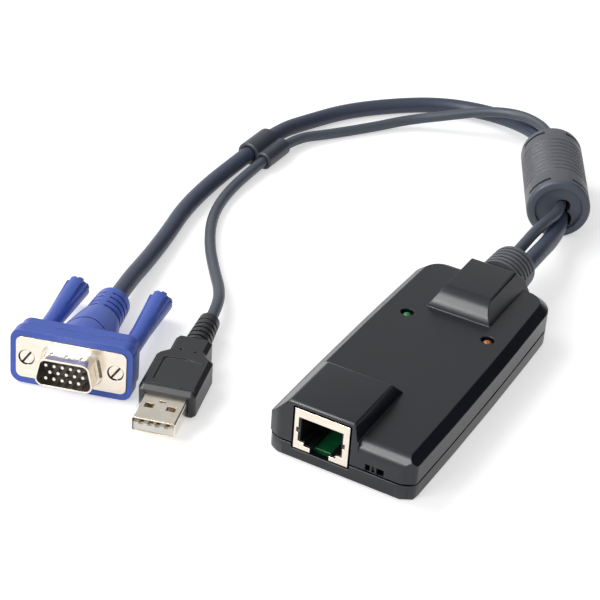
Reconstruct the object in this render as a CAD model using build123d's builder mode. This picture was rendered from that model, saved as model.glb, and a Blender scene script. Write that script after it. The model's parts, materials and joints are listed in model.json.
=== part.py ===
from build123d import *
from math import cos, pi, radians, sin, tan
import os

# Server access module: a flat charcoal housing with a network jack at the front, and a video lead
# and a data lead that leave through one ribbed gland at the back.
# Millimetres. X runs across the housing, the jack looks along -Y and Z is up from the table.
# The origin is the middle of the housing's footprint.

os.makedirs("parts", exist_ok=True)

# Housing
housing_length = 94.0
front_half_width = 21.4
middle_half_width = 21.66
rear_half_width = 20.7
middle_station = -15.0
front_corner_across = 3.4
front_corner_along = 2.0
rear_corner_radius = 8.5
seam_height = 4.83
seam_gap = 0.25
plateau_height = 13.0
bevel_drop = 2.2
bevel_angle = 50.6
front_edge_radius = 3.8
bottom_chamfer = 0.6
wall = 1.8
floor_thickness = 1.6
ceiling_thickness = 1.6
tongue_inset = 0.9
tongue_height = 0.9
tongue_clearance = 0.12

# Network jack and the hood over it
jack_centre = -5.25
jack_width = 15.9
jack_height = 12.5
jack_depth = 18.0
jack_base = 4.0
jack_gap = 0.6
jack_sheet = 0.4
jack_fit = 0.05
mouth_centre = -5.5
mouth_width = 13.0
mouth_sill = 2.3
mouth_height = 7.7
latch_step_width = 9.4
latch_step_depth = 1.0
latch_width = 5.6
shield_notch_depth = 0.6
shield_notch_height = 1.6
shield_notch_rise = 3.6
socket_width = 12.0
socket_depth = 13.0
contact_count = 8
contact_pitch = 1.02
contact_width = 0.35
contact_thickness = 0.3
contact_slot = 0.6
contact_reach = 9.1
contact_drop = 2.46
contact_tail = 2.2
jack_hood_top = 18.2
jack_hood_left = -15.1
jack_hood_left_foot = -21.3
jack_hood_right = 4.0
jack_hood_right_foot = 5.3
jack_hood_top_length = 20.6
jack_hood_foot_length = 26.1
hood_edge_radius = 0.8

# Outlet hood and gland
outlet_centre = 1.3
outlet_hood_top = 18.2
outlet_top_half = 7.0
outlet_foot_half = 11.6
outlet_foot_length = 26.4
outlet_top_length = 22.2
outlet_front_radius = 2.0
outlet_rear_setback = 3.0
outlet_rear_edge = 15.2
gland_centre = 2.2
gland_height = 10.7
gland_root_radius = 7.3
gland_tip_radius = 6.9
gland_length = 12.0
gland_end_radius = 1.4
gland_neck_half = 5.0
gland_neck_bottom = 4.2
gland_neck_top = 13.6
gland_flange = 1.2
gland_flange_half = 6.0
gland_flange_top = 14.2
gland_fit = 0.1
gland_rib_pitch = 2.0
gland_groove_width = 0.9
gland_groove_depth = 1.2
gland_groove_count = 5
gland_web = 3.2

# Indicator lights
light_setback = 32.5
light_spread = 12.45
light_middle = 0.8
light_well_radius = 1.95
light_radius = 1.5
light_sink = 1.0
light_foot = 6.6
light_flange_radius = 1.8
light_flange_height = 1.0
light_lead = 0.5
light_lead_pitch = 2.54

# Slide switch
switch_centre = 10.4
switch_window_width = 5.4
switch_window_top = 7.4
switch_body_width = 8.6
switch_body_height = 3.6
switch_body_depth = 4.0
switch_setback = 3.0
lever_rest = 9.92
lever_travel = 2.0
lever_width = 1.9
lever_bottom = 5.4
lever_height = 1.6
lever_recess = 0.3
lever_groove = 0.85
lever_groove_depth = 0.7
lever_foot_width = 3.1
lever_foot_depth = 1.2
lever_skin = 0.9
lever_clearance = 0.2

# Circuit board and the screws through it
board_half_width = 18.2
board_front_gap = 2.8
board_rear_gap = 9.0
board_thickness = 1.6
board_corner = 2.0
post_radius = 2.7
post_across = 15.1
post_front_setback = 27.0
post_rear_setback = 17.0
screw_radius = 1.1
screw_length = 9.0
screw_head_radius = 2.0
screw_head_height = 1.05
screw_head_sink = 0.15
screw_recess_width = 0.5
screw_recess_depth = 0.6
screw_fit = 0.06
counterbore_clearance = 0.2
lead_hole_radius = 0.45

# Leads
video_lead_diameter = 5.4
data_lead_diameter = 3.5
gland_video_offset = 2.9
gland_data_offset = -2.6
gland_lead_height = 10.6
lead_socket = 1.2
lead_clearance = 0.15
inner_video_diameter = 2.6
inner_data_diameter = 2.0
header_depth = 5.0
header_height = 4.6
header_setback = 1.5
video_header_width = 7.0
data_header_width = 3.6
inner_lead_run = 1.5

# Ferrite core on the leads
core_radius = 10.05
core_length = 37.9
core_front_x = -0.15
core_front_y = 99.03
core_turn = 26.28
core_chamfer = 0.95
core_wall = 1.3
core_cap = 1.8
core_recess_radius = 7.4
core_recess_depth = 0.9
core_fit = 0.05
core_groove_count = 9
core_groove_pitch = 2.0
core_groove_width = 0.6
core_groove_depth = 0.35
core_groove_start = 13.5
core_slit_bridge = 8.0
core_slit_width = 0.5
core_slit_depth = 0.6
core_slit_margin = 2.3
ferrite_bore = 6.9
core_hole_margin = 0.7
core_video_gap = 0.3
core_lead_gap = 0.35
core_lead_side = -1.2

# Clip that pairs the leads
clip_length = 13.5
clip_middle = 90.25
clip_video_x = -104.7
clip_data_x = -99.0
clip_clearance = 0.2
clip_wall = 1.05
clip_edge = 0.4

# Video plug
video_plug_x = -77.66
video_plug_y = -54.93
video_plug_height = 8.75
video_plug_turn = 16.67
video_plug_tilt = 4.5
rim_width = 34.4
rim_height = 16.4
rim_corner = 3.2
rim_setback = 0.3
rim_end = 4.0
plate_width = 31.0
plate_height = 12.4
plate_corner = 1.8
plate_thickness = 0.9
plate_fit = 0.1
shell_wide = 16.9
shell_narrow = 13.7
shell_height = 8.4
shell_corner = 2.2
shell_reach = 6.0
shell_sheet = 0.5
shell_flare = 1.0
shell_flare_height = 0.9
shell_flare_angle = 35
dimple_pitch = 4.2
dimple_radius = 0.8
dimple_depth = 0.3
dimple_station = 2.6
pin_pitch = 2.29
pin_row = 1.98
pin_columns = 5
pin_outer_shift = -0.57
pin_middle_shift = 0.57
pin_radius = 0.45
pin_reach = 5.3
pin_root = 5.0
pin_fit = 0.06
insulator_front = 0.3
insulator_rear = 6.0
insulator_fit = 0.1
shoulder_neck_width = 32.4
shoulder_neck_height = 14.8
shoulder_neck_end = 5.0
shoulder_width = 33.4
shoulder_height = 15.6
shoulder_end = 9.2
shoulder_chamfer = 1.1
dome_start = 7.0
dome_half_width = 8.6
dome_half_height = 7.7
dome_middle = 15.0
dome_middle_width = 7.7
dome_middle_height = 7.1
dome_end = 24.0
dome_end_radius = 6.1
relief_root_radius = 5.75
relief_end = 37.0
relief_end_radius = 5.1
relief_groove_count = 4
relief_groove_pitch = 2.7
relief_groove_width = 0.9
relief_groove_depth = 0.8
relief_groove_start = 25.2
smile_half = 5.3
smile_front = 12.5
smile_rear = 14.7
smile_width = 0.8
smile_depth = 0.6

# Thumbscrews of the video plug
screw_spacing = 25.0
jackscrew_radius = 1.4
jackscrew_clearance = 0.06
collar_radius = 2.0
collar_clearance = 0.3
collar_depth = 2.6
collar_setback = 0.4
knob_gap = 0.35
knob_stem_radius = 2.5
knob_waist = 24.0
knob_waist_radius = 2.7
knob_end_radius = 3.7
knob_end = 43.0
knob_end_chamfer = 0.5
knob_slot_width = 0.9
knob_slot_depth = 1.0
flute_count = 4
flute_radius = 0.9
collar_slot_width = 0.6
collar_slot_depth = 0.5
collar_slot_turn = -35

# Data plug
data_plug_x = -47.43
data_plug_y = -60.72
data_plug_height = 4.3
data_plug_turn = 15.66
usb_width = 12.0
usb_height = 4.5
usb_corner = 0.6
usb_sheet = 0.3
usb_rear = 14.3
usb_window_width = 2.5
usb_window_length = 2.0
usb_window_spread = 6.0
usb_window_station = 6.1
usb_slot_width = 1.8
usb_slot_length = 0.8
usb_slot_station = 8.5
usb_insert_height = 2.3
usb_insert_setback = 0.4
usb_insert_step = 9.2
usb_contact_width = 1.1
usb_contact_thickness = 0.2
usb_contact_front = 1.4
usb_contact_rear = 9.0
usb_contact_places = (-3.5, -1.0, 1.0, 3.5)
usb_channel_depth = 0.5
usb_fit = 0.08
mould_front = 11.3
mould_half = 8.0
mould_height = 8.4
mould_shoulder = 28.6
mould_waist = 31.2
mould_waist_half = 5.2
mould_rear = 38.5
mould_chamfer = 1.1
mould_corner = 1.5
mould_groove_width = 0.6
mould_groove_depth = 0.35
mould_collar = 1.9
mould_dimple_radius = 0.5
data_relief_end = 52.5
data_relief_root_radius = 3.8
data_relief_tip_radius = 3.1
data_relief_groove_start = 39.6
data_relief_groove_count = 5
data_relief_groove_pitch = 2.3
data_relief_groove_width = 0.9
data_relief_groove_depth = 0.6

front = -housing_length / 2
rear = housing_length / 2
bevel_foot = plateau_height - bevel_drop
board_underside = jack_base - board_thickness
mouth_bottom = jack_base + mouth_sill
mouth_top = mouth_bottom + mouth_height
jack_top = jack_base + jack_height
jack_hood_rear_top = front + jack_hood_top_length
jack_hood_rear_foot = front + jack_hood_foot_length
outlet_front_foot = rear - outlet_foot_length
outlet_front_top = rear - outlet_top_length
outlet_rear_top = rear - outlet_rear_setback
light_station = rear - light_setback
light_tip = plateau_height - light_sink
switch_front = front + switch_setback
lever_tip = front + lever_recess
board_front = front + board_front_gap
board_rear = rear - board_rear_gap
post_front = front + post_front_setback
post_rear = rear - post_rear_setback
core_video_height = core_radius - ferrite_bore + core_video_gap + video_lead_diameter / 2
core_data_height = core_video_height + (video_lead_diameter + data_lead_diameter) / 2 + core_lead_gap


def plan_outline(inset, forward=0.0):
    # Footprint of the housing, drawn in by inset, with its nose pushed out by forward.
    nose_line = front - forward
    nose = front_half_width - front_corner_across
    shoulder = nose_line + front_corner_along
    bow = [(front_half_width, shoulder), (middle_half_width, middle_station), (rear_half_width, rear)]
    with BuildSketch() as outline:
        with BuildLine():
            Line((0, nose_line), (nose, nose_line))
            Line((nose, nose_line), bow[0])
            ThreePointArc(*bow)
            Line(bow[2], (0, rear))
            mirror(about=Plane.YZ)
        make_face()
        fillet(outline.vertices().sort_by(Axis.Y)[-2:], rear_corner_radius)
        if inset > 0:
            offset(amount=-inset, kind=Kind.INTERSECTION)
    return outline.sketch


def plug_plane(x, y, height, turn, tilt):
    # Local X to the right of the mouth, local Y up and local Z out of the mouth.
    yaw = radians(turn)
    pitch = radians(tilt)
    across = Vector(cos(yaw), sin(yaw), 0)
    outward = Vector(sin(yaw) * cos(pitch), -cos(yaw) * cos(pitch), sin(pitch))
    return Plane(origin=(x, y, height), x_dir=across, z_dir=outward)


def deck_plane(plug, height):
    # A level plane over a plug: local X to the right, local Y backwards along the lead.
    return Plane(origin=plug.from_local_coords((0, height, 0)), x_dir=plug.x_dir, z_dir=plug.y_dir)


def bend_radii(points):
    # The arc at each corner is as large as its two runs allow.
    radii = []
    for before, corner, after in zip(points, points[1:], points[2:]):
        arriving = Vector(*corner) - Vector(*before)
        leaving = Vector(*after) - Vector(*corner)
        half_turn = radians(arriving.get_angle(leaving) / 2)
        radii.append(0.45 * min(arriving.length, leaving.length) / tan(half_turn))
    return radii


def build_lead(name, points, diameter):
    # A round lead: straight runs joined by tangent arcs.
    radii = bend_radii(points)
    with BuildPart() as lead:
        with BuildLine() as path:
            FilletPolyline(*points, radius=radii)
        with BuildSketch(Plane(origin=path.line @ 0, z_dir=path.line % 0)):
            Circle(diameter / 2)
        sweep()
    lead.part.label = name
    export_step(lead.part, f"parts/{name}.step")
    length = sum(edge.length for edge in path.line.edges())
    section = pi * diameter**2 / 4
    print(name, "length", round(length, 1), "volume ratio", round(lead.part.volume / section / length, 4))
    print(name, "radii", [round(radius, 1) for radius in radii])
    return lead


outer_plan = plan_outline(0)
bevel_plan = plan_outline(0, front_edge_radius)
cavity_plan = plan_outline(wall)
tongue_plan = plan_outline(tongue_inset)
rebate_plan = plan_outline(tongue_inset - tongue_clearance)

post_places = [
    (side * post_across, station) for station in (post_front, post_rear) for side in (-1, 1)
]
light_places = [(light_middle + side * light_spread, light_station) for side in (-1, 1)]

# Openings cut through both covers: the jack's window and the notch round the gland's neck.
with BuildPart() as cover_openings:
    with BuildSketch(Plane.XZ.offset(-front + wall)):
        with Locations((jack_centre, jack_base + jack_height / 2)):
            Rectangle(jack_width + 2 * jack_gap, jack_height + 2 * jack_gap)
    extrude(amount=-(wall + jack_depth + 2 * jack_gap))
    with BuildSketch(Plane.XZ.offset(-rear - wall)):
        with Locations((gland_centre, (gland_neck_bottom + gland_neck_top) / 2)):
            Rectangle(2 * (gland_neck_half + gland_fit), gland_neck_top - gland_neck_bottom + 2 * gland_fit)
    extrude(amount=3 * wall)

# Switch window, open down to the seam.
with BuildPart() as switch_window:
    with BuildSketch(Plane.XZ.offset(-front + wall)):
        with Locations((switch_centre, seam_height)):
            Rectangle(switch_window_width, switch_window_top - seam_height, align=(Align.CENTER, Align.MIN))
    extrude(amount=-3 * wall)

# Raised hood over the jack, its left flank running down into the side bevel.
with BuildPart() as jack_hood:
    with BuildSketch(Plane.XZ.offset(-rear)) as jack_hood_face:
        with BuildLine():
            Polyline(
                (jack_hood_left_foot, bevel_foot),
                (jack_hood_left, jack_hood_top),
                (jack_hood_right, jack_hood_top),
                (jack_hood_right_foot, bevel_foot),
                close=True,
            )
        make_face()
        fillet(jack_hood_face.vertices().sort_by(Axis.Z)[-2:], hood_edge_radius)
    extrude(amount=housing_length)
    with BuildSketch(Plane.YZ) as jack_hood_side:
        with BuildLine():
            Polyline(
                (front, seam_height),
                (front, jack_hood_top),
                (jack_hood_rear_top, jack_hood_top),
                (jack_hood_rear_foot, plateau_height),
                (jack_hood_rear_foot, seam_height),
                close=True,
            )
        make_face()
        fillet(jack_hood_side.vertices().sort_by(Axis.Z)[-2:].sort_by(Axis.Y)[-1:], hood_edge_radius)
    extrude(amount=housing_length, both=True, mode=Mode.INTERSECT)
    with BuildSketch():
        add(outer_plan)
    extrude(amount=jack_hood_top, mode=Mode.INTERSECT)

# Raised hood over the outlet, with a soft front slope.
with BuildPart() as outlet_hood:
    with BuildSketch(Plane.XZ.offset(-rear)) as outlet_face:
        with BuildLine():
            Polyline(
                (outlet_centre - outlet_foot_half, bevel_foot - bevel_drop / 2),
                (outlet_centre - outlet_top_half, outlet_hood_top),
                (outlet_centre + outlet_top_half, outlet_hood_top),
                (outlet_centre + outlet_foot_half, bevel_foot - bevel_drop / 2),
                close=True,
            )
        make_face()
        fillet(outlet_face.vertices().sort_by(Axis.Z)[-2:], hood_edge_radius)
    extrude(amount=housing_length)
    with BuildSketch(Plane.YZ) as outlet_side:
        with BuildLine():
            Polyline(
                (outlet_front_foot, plateau_height),
                (outlet_front_top, outlet_hood_top),
                (outlet_rear_top, outlet_hood_top),
                (rear, outlet_rear_edge),
                (rear, seam_height),
                (outlet_front_foot, seam_height),
                close=True,
            )
        make_face()
        fillet(outlet_side.vertices().sort_by(Axis.Z)[-2:].sort_by(Axis.Y)[:1], outlet_front_radius)
    extrude(amount=housing_length, both=True, mode=Mode.INTERSECT)

# Space under the outlet hood for the gland's flange and the inner leads.
with BuildPart() as outlet_space:
    with BuildSketch(Plane.YZ.offset(gland_centre - gland_flange_half - gland_fit)):
        with BuildLine():
            Polyline(
                (outlet_front_top + wall, seam_height),
                (outlet_front_top + wall, outlet_hood_top - 2 * wall),
                (outlet_rear_top - wall, outlet_hood_top - 2 * wall),
                (rear - wall, gland_flange_top + gland_fit),
                (rear - wall, seam_height),
                close=True,
            )
        make_face()
    extrude(amount=2 * (gland_flange_half + gland_fit))

# Top cover: bowed sides, side and rear bevels, a rounded front edge and the two hoods.
with BuildPart() as top_cover:
    with BuildSketch(Plane.XY.offset(seam_height + seam_gap / 2)):
        add(bevel_plan)
    extrude(amount=bevel_foot - seam_height - seam_gap / 2)
    with BuildSketch(Plane.XY.offset(bevel_foot)):
        add(bevel_plan)
    extrude(amount=bevel_drop, taper=bevel_angle)
    with BuildSketch(Plane.YZ) as slope_side:
        Rectangle(housing_length, 2 * plateau_height)
        fillet(slope_side.vertices().sort_by(Axis.Z)[-2:].sort_by(Axis.Y)[:1], front_edge_radius)
    extrude(amount=housing_length, both=True, mode=Mode.INTERSECT)
    with BuildSketch():
        add(outer_plan)
    extrude(amount=plateau_height, mode=Mode.INTERSECT)
    add(jack_hood.part)
    add(outlet_hood.part)
    with BuildSketch():
        add(cavity_plan)
    extrude(amount=plateau_height - ceiling_thickness - wall, mode=Mode.SUBTRACT)
    with BuildSketch(Plane.XY.offset(plateau_height - ceiling_thickness - wall)):
        add(cavity_plan)
    extrude(amount=wall, taper=bevel_angle, mode=Mode.SUBTRACT)
    with BuildSketch():
        add(rebate_plan)
    extrude(amount=seam_height + tongue_height + tongue_clearance, mode=Mode.SUBTRACT)
    add(outlet_space.part, mode=Mode.SUBTRACT)
    with BuildSketch(Plane.XY.offset(jack_base)):
        with Locations(*post_places):
            Circle(post_radius)
    extrude(amount=plateau_height - ceiling_thickness - jack_base)
    with BuildSketch(Plane.XY.offset(jack_base)):
        with Locations(*post_places):
            Circle(screw_radius + screw_fit)
    extrude(amount=screw_length - board_underside, mode=Mode.SUBTRACT)
    with BuildSketch():
        with Locations(*light_places):
            Circle(light_well_radius)
    extrude(amount=jack_hood_top, mode=Mode.SUBTRACT)
    add(cover_openings.part, mode=Mode.SUBTRACT)
    add(switch_window.part, mode=Mode.SUBTRACT)
top_cover.part.label = "top_cover"
export_step(top_cover.part, "parts/top_cover.step")

# Bottom cover: a shallow tray with a tongue into the top cover and standoffs under the board.
with BuildPart() as bottom_cover:
    with BuildSketch():
        add(outer_plan)
    extrude(amount=seam_height - seam_gap / 2)
    chamfer(bottom_cover.faces().sort_by(Axis.Z)[0].edges(), bottom_chamfer)
    with BuildSketch():
        add(tongue_plan)
    extrude(amount=seam_height + tongue_height)
    with BuildSketch(Plane.XY.offset(floor_thickness)):
        add(cavity_plan)
    extrude(amount=seam_height, mode=Mode.SUBTRACT)
    with BuildSketch():
        with Locations(*post_places):
            Circle(post_radius)
    extrude(amount=board_underside)
    with BuildSketch():
        with Locations(*post_places):
            Circle(screw_radius + screw_fit)
    extrude(amount=board_underside, mode=Mode.SUBTRACT)
    with BuildSketch():
        with Locations(*post_places):
            Circle(screw_head_radius + counterbore_clearance)
    extrude(amount=screw_head_height + screw_head_sink, mode=Mode.SUBTRACT)
    add(cover_openings.part, mode=Mode.SUBTRACT)
    add(switch_window.part, mode=Mode.SUBTRACT)
bottom_cover.part.label = "bottom_cover"
export_step(bottom_cover.part, "parts/bottom_cover.step")

# Four screws from below, through the tray and the board into the top cover's posts.
with BuildPart() as cover_screws:
    with BuildSketch(Plane.XY.offset(screw_head_sink)):
        with Locations(*post_places):
            Circle(screw_head_radius)
    extrude(amount=screw_head_height)
    with BuildSketch(Plane.XY.offset(screw_head_sink)):
        with Locations(*post_places):
            Circle(screw_radius)
    extrude(amount=screw_head_height + screw_length)
    with BuildSketch(Plane.XY.offset(screw_head_sink)):
        with Locations(*post_places):
            Rectangle(2 * screw_radius, screw_recess_width)
            Rectangle(screw_recess_width, 2 * screw_radius)
    extrude(amount=screw_recess_depth, mode=Mode.SUBTRACT)
cover_screws.part.label = "cover_screws"
export_step(cover_screws.part, "parts/cover_screws.step")

# Circuit board
contact_middle = (contact_count - 1) / 2
contact_places = [mouth_centre + (index - contact_middle) * contact_pitch for index in range(contact_count)]
contact_rear = front + jack_depth - contact_tail

with BuildPart() as main_board:
    with BuildSketch(Plane.XY.offset(board_underside)) as board_outline:
        with Locations((0, (board_front + board_rear) / 2)):
            Rectangle(2 * board_half_width, board_rear - board_front)
        chamfer(board_outline.vertices(), board_corner)
        with Locations(*post_places):
            Circle(screw_radius + 2 * screw_fit, mode=Mode.SUBTRACT)
        with Locations(*light_places):
            with GridLocations(light_lead_pitch, 0, 2, 1):
                Circle(lead_hole_radius, mode=Mode.SUBTRACT)
        with Locations(*[(place, contact_rear) for place in contact_places]):
            Circle(lead_hole_radius, mode=Mode.SUBTRACT)
    extrude(amount=board_thickness)
main_board.part.label = "main_board"
export_step(main_board.part, "parts/main_board.step")

# Chips on the board: processor, memory, video converter, network transformer and a capacitor.
processor = ((3.5, 2.0), (14.0, 14.0, 1.4))
memory = ((-10.5, -2.0), (7.0, 11.0, 1.2))
converter = ((-9.5, 27.0), (6.0, 5.0, 1.5))
transformer = ((jack_centre, front + jack_depth + 8.5), (13.0, 9.0, 4.2))
capacitor = ((9.0, -25.0), (4.0, 4.0, 3.0))
with BuildPart() as board_chips:
    for place, size in (processor, memory, converter, transformer, capacitor):
        with BuildSketch(Plane.XY.offset(jack_base)):
            with Locations(place):
                Rectangle(size[0], size[1])
        extrude(amount=size[2])
board_chips.part.label = "board_chips"
export_step(board_chips.part, "parts/board_chips.step")

# Folded steel shield of the jack, open underneath, with the mouth and latch notch in its front.
with BuildPart() as jack_shield:
    with BuildSketch(Plane.XZ.offset(-front)):
        with Locations((jack_centre, jack_base)):
            Rectangle(jack_width, jack_height, align=(Align.CENTER, Align.MIN))
    extrude(amount=-jack_depth)
    with BuildSketch(Plane.XZ.offset(-front - jack_sheet)):
        with Locations((jack_centre, 0)):
            Rectangle(jack_width - 2 * jack_sheet, jack_top - jack_sheet, align=(Align.CENTER, Align.MIN))
    extrude(amount=-(jack_depth - 2 * jack_sheet), mode=Mode.SUBTRACT)
    with BuildSketch(Plane.XZ.offset(-front)):
        with Locations((mouth_centre, mouth_bottom)):
            Rectangle(mouth_width, mouth_height, align=(Align.CENTER, Align.MIN))
        with Locations((mouth_centre, mouth_bottom - latch_step_depth)):
            Rectangle(latch_step_width, mouth_height, align=(Align.CENTER, Align.MIN))
        with Locations((mouth_centre, jack_base)):
            Rectangle(latch_width, mouth_height, align=(Align.CENTER, Align.MIN))
        with Locations((mouth_centre, mouth_bottom + shield_notch_rise)):
            Rectangle(mouth_width + 2 * shield_notch_depth, shield_notch_height)
    extrude(amount=-jack_sheet, mode=Mode.SUBTRACT)
jack_shield.part.label = "jack_shield"
export_step(jack_shield.part, "parts/jack_shield.step")

# Moulded body inside the shield: the socket, its latch channel and a slot for each contact.
body_front = front + jack_sheet + jack_fit
body_rear = front + jack_depth - jack_sheet - jack_fit
slot_top = jack_top - jack_sheet - 2 * contact_slot
with BuildPart() as jack_body:
    with BuildSketch(Plane.XZ.offset(-body_front)):
        with Locations((jack_centre, jack_base)):
            Rectangle(
                jack_width - 2 * (jack_sheet + jack_fit),
                jack_height - jack_sheet - jack_fit,
                align=(Align.CENTER, Align.MIN),
            )
    extrude(amount=-(body_rear - body_front))
    with BuildSketch(Plane.XZ.offset(-body_front)):
        with Locations((mouth_centre, mouth_bottom)):
            Rectangle(socket_width, mouth_height, align=(Align.CENTER, Align.MIN))
        with Locations((mouth_centre, mouth_bottom - latch_step_depth)):
            Rectangle(latch_step_width, mouth_height, align=(Align.CENTER, Align.MIN))
        with Locations((mouth_centre, jack_base)):
            Rectangle(latch_width, mouth_height, align=(Align.CENTER, Align.MIN))
    extrude(amount=-socket_depth, mode=Mode.SUBTRACT)
    for place in contact_places:
        with BuildSketch(Plane.YZ.offset(place - contact_slot / 2)):
            with BuildLine():
                Polyline(
                    (body_front + jack_sheet, mouth_top - jack_sheet),
                    (body_front + jack_sheet, slot_top),
                    (contact_rear + contact_slot, slot_top),
                    (contact_rear + contact_slot, jack_base),
                    (contact_rear - contact_slot, jack_base),
                    (contact_rear - contact_slot, mouth_top - jack_sheet),
                    close=True,
                )
            make_face()
        extrude(amount=contact_slot, mode=Mode.SUBTRACT)
jack_body.part.label = "jack_body"
export_step(jack_body.part, "parts/jack_body.step")

# Eight bent contact wires: tail in the board, run over the socket, spring arm down into it.
wire_top = slot_top - contact_slot / 2
with BuildPart() as jack_contacts:
    for place in contact_places:
        with BuildSketch(Plane.YZ.offset(place - contact_width / 2)):
            with BuildLine() as wire:
                Polyline(
                    (contact_rear, board_underside + contact_thickness),
                    (contact_rear, wire_top),
                    (body_front + 3 * contact_slot, wire_top),
                    (body_front + 2 * contact_slot, wire_top - contact_slot),
                    (body_front + contact_reach, mouth_top - contact_drop),
                )
            trace(wire.line, contact_thickness)
        extrude(amount=contact_width)
jack_contacts.part.label = "jack_contacts"
export_step(jack_contacts.part, "parts/jack_contacts.step")

# Two indicator lights on leads, each under its well in the top cover.
light_shoulder = light_foot + light_flange_height
for name, place in zip(("link_light", "power_light"), light_places):
    with BuildPart() as light:
        with BuildSketch(Plane.XZ.offset(-place[1])):
            with BuildLine():
                Polyline(
                    (0, light_tip),
                    (0, light_foot),
                    (light_flange_radius, light_foot),
                    (light_flange_radius, light_shoulder),
                    (light_radius, light_shoulder),
                    (light_radius, light_tip - light_radius),
                )
                RadiusArc((light_radius, light_tip - light_radius), (0, light_tip), -light_radius)
            make_face()
        revolve(axis=Axis((0, place[1], 0), (0, 0, 1)))
    moved_light = Pos(place[0], 0, 0) * light.part
    with BuildPart() as light_piece:
        add(moved_light)
        with BuildSketch(Plane.XY.offset(board_underside - contact_thickness)):
            with Locations(place):
                with GridLocations(light_lead_pitch, 0, 2, 1):
                    Rectangle(light_lead, light_lead)
        extrude(amount=light_foot - board_underside + 2 * contact_thickness)
    light_piece.part.label = name
    export_step(light_piece.part, f"parts/{name}.step")

# Slide switch: a body with a T-shaped slot, and a lever that reaches out through the window.
lever_middle = lever_bottom + lever_height / 2
slot_middle = lever_rest + lever_travel / 2
with BuildPart() as switch_body:
    with BuildSketch(Plane.XY.offset(jack_base)):
        with Locations((slot_middle, switch_front)):
            Rectangle(switch_body_width, switch_body_depth, align=(Align.CENTER, Align.MIN))
    extrude(amount=switch_body_height)
    with BuildSketch(Plane.XZ.offset(-switch_front)):
        with Locations((slot_middle, lever_middle)):
            Rectangle(lever_width + lever_travel + 2 * lever_clearance, lever_height + 2 * lever_clearance)
    extrude(amount=-lever_skin - lever_clearance, mode=Mode.SUBTRACT)
    with BuildSketch(Plane.XZ.offset(-switch_front - lever_skin)):
        with Locations((slot_middle, lever_middle)):
            Rectangle(lever_foot_width + lever_travel + 2 * lever_clearance, lever_height + 2 * lever_clearance)
    extrude(amount=-lever_foot_depth - 2 * lever_clearance, mode=Mode.SUBTRACT)
switch_body.part.label = "switch_body"
export_step(switch_body.part, "parts/switch_body.step")

with BuildPart() as switch_lever:
    foot_front = switch_front + lever_skin + lever_clearance
    with BuildSketch(Plane.XY.offset(lever_bottom)):
        with BuildLine():
            Polyline(
                (lever_rest - lever_width / 2, lever_tip),
                (lever_rest - lever_groove / 2, lever_tip),
                (lever_rest - lever_groove / 2, lever_tip + lever_groove_depth),
                (lever_rest + lever_groove / 2, lever_tip + lever_groove_depth),
                (lever_rest + lever_groove / 2, lever_tip),
                (lever_rest + lever_width / 2, lever_tip),
                (lever_rest + lever_width / 2, foot_front),
                (lever_rest + lever_foot_width / 2, foot_front),
                (lever_rest + lever_foot_width / 2, foot_front + lever_foot_depth),
                (lever_rest - lever_foot_width / 2, foot_front + lever_foot_depth),
                (lever_rest - lever_foot_width / 2, foot_front),
                (lever_rest - lever_width / 2, foot_front),
                close=True,
            )
        make_face()
    extrude(amount=lever_height)
switch_lever.part.label = "switch_lever"
export_step(switch_lever.part, "parts/switch_lever.step")

# Ribbed gland, moulded over both leads, clamped by its flange between the covers.
gland_tip = rear + gland_length
with BuildPart() as cable_gland:
    with BuildSketch(Plane.XZ.offset(-rear)):
        with Locations((gland_centre, gland_height)):
            Circle(gland_root_radius)
    with BuildSketch(Plane.XZ.offset(-gland_tip)):
        with Locations((gland_centre, gland_height)):
            Circle(gland_tip_radius)
    loft()
    fillet(cable_gland.faces().sort_by(Axis.Y)[-1].edges(), gland_end_radius)
    for index in range(gland_groove_count):
        groove_start = rear + gland_rib_pitch * (index + 0.5)
        with BuildSketch(Plane.XZ.offset(-groove_start)):
            with Locations((gland_centre, gland_height)):
                Circle(gland_root_radius + gland_groove_depth)
                Circle(gland_tip_radius - gland_groove_depth, mode=Mode.SUBTRACT)
                Rectangle(3 * gland_root_radius, gland_web, mode=Mode.SUBTRACT)
        extrude(amount=-gland_groove_width, mode=Mode.SUBTRACT)
    with BuildSketch(Plane.XZ.offset(-rear)):
        with Locations((gland_centre, gland_neck_bottom)):
            Rectangle(2 * gland_neck_half, gland_neck_top - gland_neck_bottom, align=(Align.CENTER, Align.MIN))
    extrude(amount=wall + gland_fit)
    with BuildSketch(Plane.XZ.offset(-rear + wall + gland_fit)):
        with Locations((gland_centre, gland_neck_bottom)):
            Rectangle(2 * gland_flange_half, gland_flange_top - gland_neck_bottom, align=(Align.CENTER, Align.MIN))
    extrude(amount=gland_flange)
    with BuildSketch(Plane.XZ.offset(-gland_tip)):
        with Locations((gland_centre + gland_video_offset, gland_lead_height)):
            Circle(video_lead_diameter / 2 + lead_clearance)
        with Locations((gland_centre + gland_data_offset, gland_lead_height)):
            Circle(data_lead_diameter / 2 + lead_clearance)
    extrude(amount=lead_socket, mode=Mode.SUBTRACT)
cable_gland.part.label = "cable_gland"
export_step(cable_gland.part, "parts/cable_gland.step")

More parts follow.
